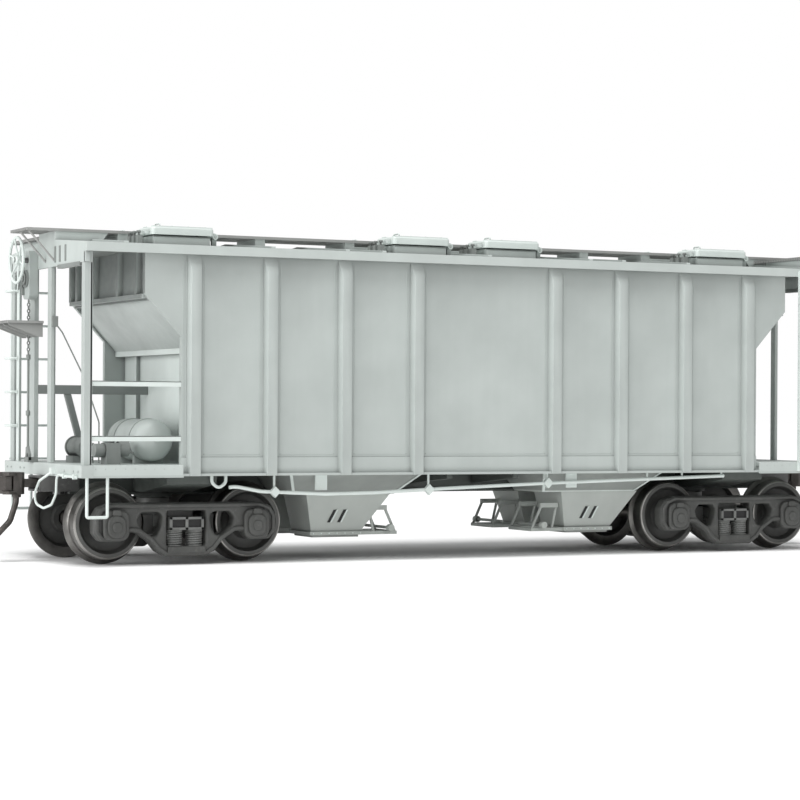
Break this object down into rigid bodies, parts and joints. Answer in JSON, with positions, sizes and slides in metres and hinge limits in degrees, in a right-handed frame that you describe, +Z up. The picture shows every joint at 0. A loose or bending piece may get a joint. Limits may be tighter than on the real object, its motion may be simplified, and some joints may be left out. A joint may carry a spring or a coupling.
{
  "type": "model hopper car",
  "caption": "HO scale two-bay covered hopper car on two four-wheel trucks, with hinged roof hatches, knuckle couplers and a hand-brake wheel.",
  "frame": {"origin": "under the centre of the car, at the bottom of the wheel flanges", "axes": "+X along the track, away from the hand-brake end; +Y across the track, away from the side with the long pipe; +Z up"},
  "size_m": [0.1326, 0.0338, 0.0448],
  "materials": {
    "car_body": "satin light grey paint on moulded plastic",
    "roof_paint": "satin light grey paint on moulded plastic",
    "frame_paint": "satin light grey paint, slightly shaded",
    "board_paint": "satin mid grey paint on a pierced walkway",
    "detail_paint": "satin light grey paint on fine parts",
    "gate_paint": "satin grey paint",
    "weight_steel": "plain mild steel plate",
    "screw_steel": "blackened steel",
    "spring_bronze": "phosphor bronze leaf",
    "coupler_metal": "blackened die-cast metal, matt",
    "coupler_box_plastic": "dark moulded plastic",
    "truck_plastic": "dark grey moulded plastic",
    "truck_spring_metal": "dark coil springs",
    "wheel_metal": "chemically darkened metal with polished treads",
    "axle_steel": "turned steel"
  },
  "bodies": {
    "root": {"air_pipes": "detail_paint", "air_reservoir": "detail_paint", "body_shell": "car_body", "brake_cylinder": "detail_paint", "brake_housing": "detail_paint", "brake_rod": "detail_paint", "brake_step": "detail_paint", "centre_sill": "frame_paint", "centring_springs": "spring_bronze", "control_valve": "detail_paint", "coupler_boxes": "coupler_box_plastic", "end_posts_a": "car_body", "end_posts_b": "car_body", "grab_irons": "detail_paint", "hopper_bay_a": "car_body", "hopper_bay_b": "car_body", "ladders": "detail_paint", "lateral_boards": "board_paint", "outlet_gate_frames": "gate_paint", "outlet_gates": "gate_paint", "roof": "roof_paint", "running_board": "board_paint", "screws": "screw_steel", "side_pipe": "detail_paint", "steel_weight": "weight_steel", "stirrup_steps": "detail_paint", "uncoupling_levers": "detail_paint", "underframe": "frame_paint"},
    "hatch_1": {"hatch_cover_1": "roof_paint"},
    "hatch_2": {"hatch_cover_2": "roof_paint"},
    "hatch_3": {"hatch_cover_3": "roof_paint"},
    "hatch_4": {"hatch_cover_4": "roof_paint"},
    "hatch_5": {"hatch_cover_5": "roof_paint"},
    "hatch_6": {"hatch_cover_6": "roof_paint"},
    "hatch_7": {"hatch_cover_7": "roof_paint"},
    "hatch_8": {"hatch_cover_8": "roof_paint"},
    "truck_b": {"side_frames_b": "truck_plastic", "truck_bolster_b": "truck_plastic", "truck_springs_b": "truck_spring_metal", "brake_beams_b": "truck_plastic"},
    "wheelset_b_outer": {"axle_b_outer": "axle_steel", "wheels_b_outer": "wheel_metal"},
    "wheelset_b_inner": {"axle_b_inner": "axle_steel", "wheels_b_inner": "wheel_metal"},
    "coupler_b": {"coupler_b": "coupler_metal", "trip_pin_b": "coupler_metal"},
    "knuckle_b": {"coupler_knuckle_b": "coupler_metal"},
    "truck_a": {"side_frames_a": "truck_plastic", "truck_bolster_a": "truck_plastic", "truck_springs_a": "truck_spring_metal", "brake_beams_a": "truck_plastic"},
    "wheelset_a_outer": {"axle_a_outer": "axle_steel", "wheels_a_outer": "wheel_metal"},
    "wheelset_a_inner": {"axle_a_inner": "axle_steel", "wheels_a_inner": "wheel_metal"},
    "coupler_a": {"coupler_a": "coupler_metal", "trip_pin_a": "coupler_metal"},
    "knuckle_a": {"coupler_knuckle_a": "coupler_metal"},
    "brake_wheel": {"brake_wheel": "detail_paint", "brake_shaft": "detail_paint"}
  },
  "joints": [
    {"name": "hatch_1_hinge", "type": "hinge", "parent": "root", "child": "hatch_1", "pos_m": [-0.03803, -0.007, 0.04374], "axis": [0, 1, 0], "range_deg": [0, 100]},
    {"name": "hatch_2_hinge", "type": "hinge", "parent": "root", "child": "hatch_2", "pos_m": [-0.03803, 0.007, 0.04374], "axis": [0, 1, 0], "range_deg": [0, 100]},
    {"name": "hatch_3_hinge", "type": "hinge", "parent": "root", "child": "hatch_3", "pos_m": [-0.0023, -0.007, 0.04374], "axis": [0, 1, 0], "range_deg": [0, 100]},
    {"name": "hatch_4_hinge", "type": "hinge", "parent": "root", "child": "hatch_4", "pos_m": [-0.0023, 0.007, 0.04374], "axis": [0, 1, 0], "range_deg": [0, 100]},
    {"name": "hatch_5_hinge", "type": "hinge", "parent": "root", "child": "hatch_5", "pos_m": [0.01222, -0.007, 0.04374], "axis": [0, 1, 0], "range_deg": [0, 100]},
    {"name": "hatch_6_hinge", "type": "hinge", "parent": "root", "child": "hatch_6", "pos_m": [0.01222, 0.007, 0.04374], "axis": [0, 1, 0], "range_deg": [0, 100]},
    {"name": "hatch_7_hinge", "type": "hinge", "parent": "root", "child": "hatch_7", "pos_m": [0.04794, -0.007, 0.04374], "axis": [0, 1, 0], "range_deg": [0, 100]},
    {"name": "hatch_8_hinge", "type": "hinge", "parent": "root", "child": "hatch_8", "pos_m": [0.04794, 0.007, 0.04374], "axis": [0, 1, 0], "range_deg": [0, 100]},
    {"name": "truck_b_swivel", "type": "hinge", "parent": "root", "child": "truck_b", "pos_m": [-0.04345, 0, 0.00851], "axis": [0, 0, 1], "range_deg": [-8, 8]},
    {"name": "wheelset_b_outer_spin", "type": "hinge", "parent": "truck_b", "child": "wheelset_b_outer", "pos_m": [-0.05337, 0, 0.00545], "axis": [0, 1, 0], "continuous": true},
    {"name": "wheelset_b_inner_spin", "type": "hinge", "parent": "truck_b", "child": "wheelset_b_inner", "pos_m": [-0.03354, 0, 0.00545], "axis": [0, 1, 0], "continuous": true},
    {"name": "coupler_b_swing", "type": "hinge", "parent": "root", "child": "coupler_b", "pos_m": [-0.05687, 0, 0.01056], "axis": [0, 0, 1], "range_deg": [-10, 10], "stiffness_Nm_per_rad": 0.0005},
    {"name": "knuckle_b_pivot", "type": "hinge", "parent": "coupler_b", "child": "knuckle_b", "pos_m": [-0.06433, -0.00122, 0.01056], "axis": [0, 0, 1], "range_deg": [0, 25], "stiffness_Nm_per_rad": 0.00005},
    {"name": "truck_a_swivel", "type": "hinge", "parent": "root", "child": "truck_a", "pos_m": [0.04345, 0, 0.00851], "axis": [0, 0, 1], "range_deg": [-8, 8]},
    {"name": "wheelset_a_outer_spin", "type": "hinge", "parent": "truck_a", "child": "wheelset_a_outer", "pos_m": [0.05337, 0, 0.00545], "axis": [0, 1, 0], "continuous": true},
    {"name": "wheelset_a_inner_spin", "type": "hinge", "parent": "truck_a", "child": "wheelset_a_inner", "pos_m": [0.03354, 0, 0.00545], "axis": [0, 1, 0], "continuous": true},
    {"name": "coupler_a_swing", "type": "hinge", "parent": "root", "child": "coupler_a", "pos_m": [0.05687, 0, 0.01056], "axis": [0, 0, 1], "range_deg": [-10, 10], "stiffness_Nm_per_rad": 0.0005},
    {"name": "knuckle_a_pivot", "type": "hinge", "parent": "coupler_a", "child": "knuckle_a", "pos_m": [0.06433, 0.00122, 0.01056], "axis": [0, 0, 1], "range_deg": [0, 25], "stiffness_Nm_per_rad": 0.00005},
    {"name": "brake_wheel_spin", "type": "hinge", "parent": "root", "child": "brake_wheel", "pos_m": [-0.06153, 0.00452, 0.04059], "axis": [1, 0, 0], "continuous": true}
  ]
}
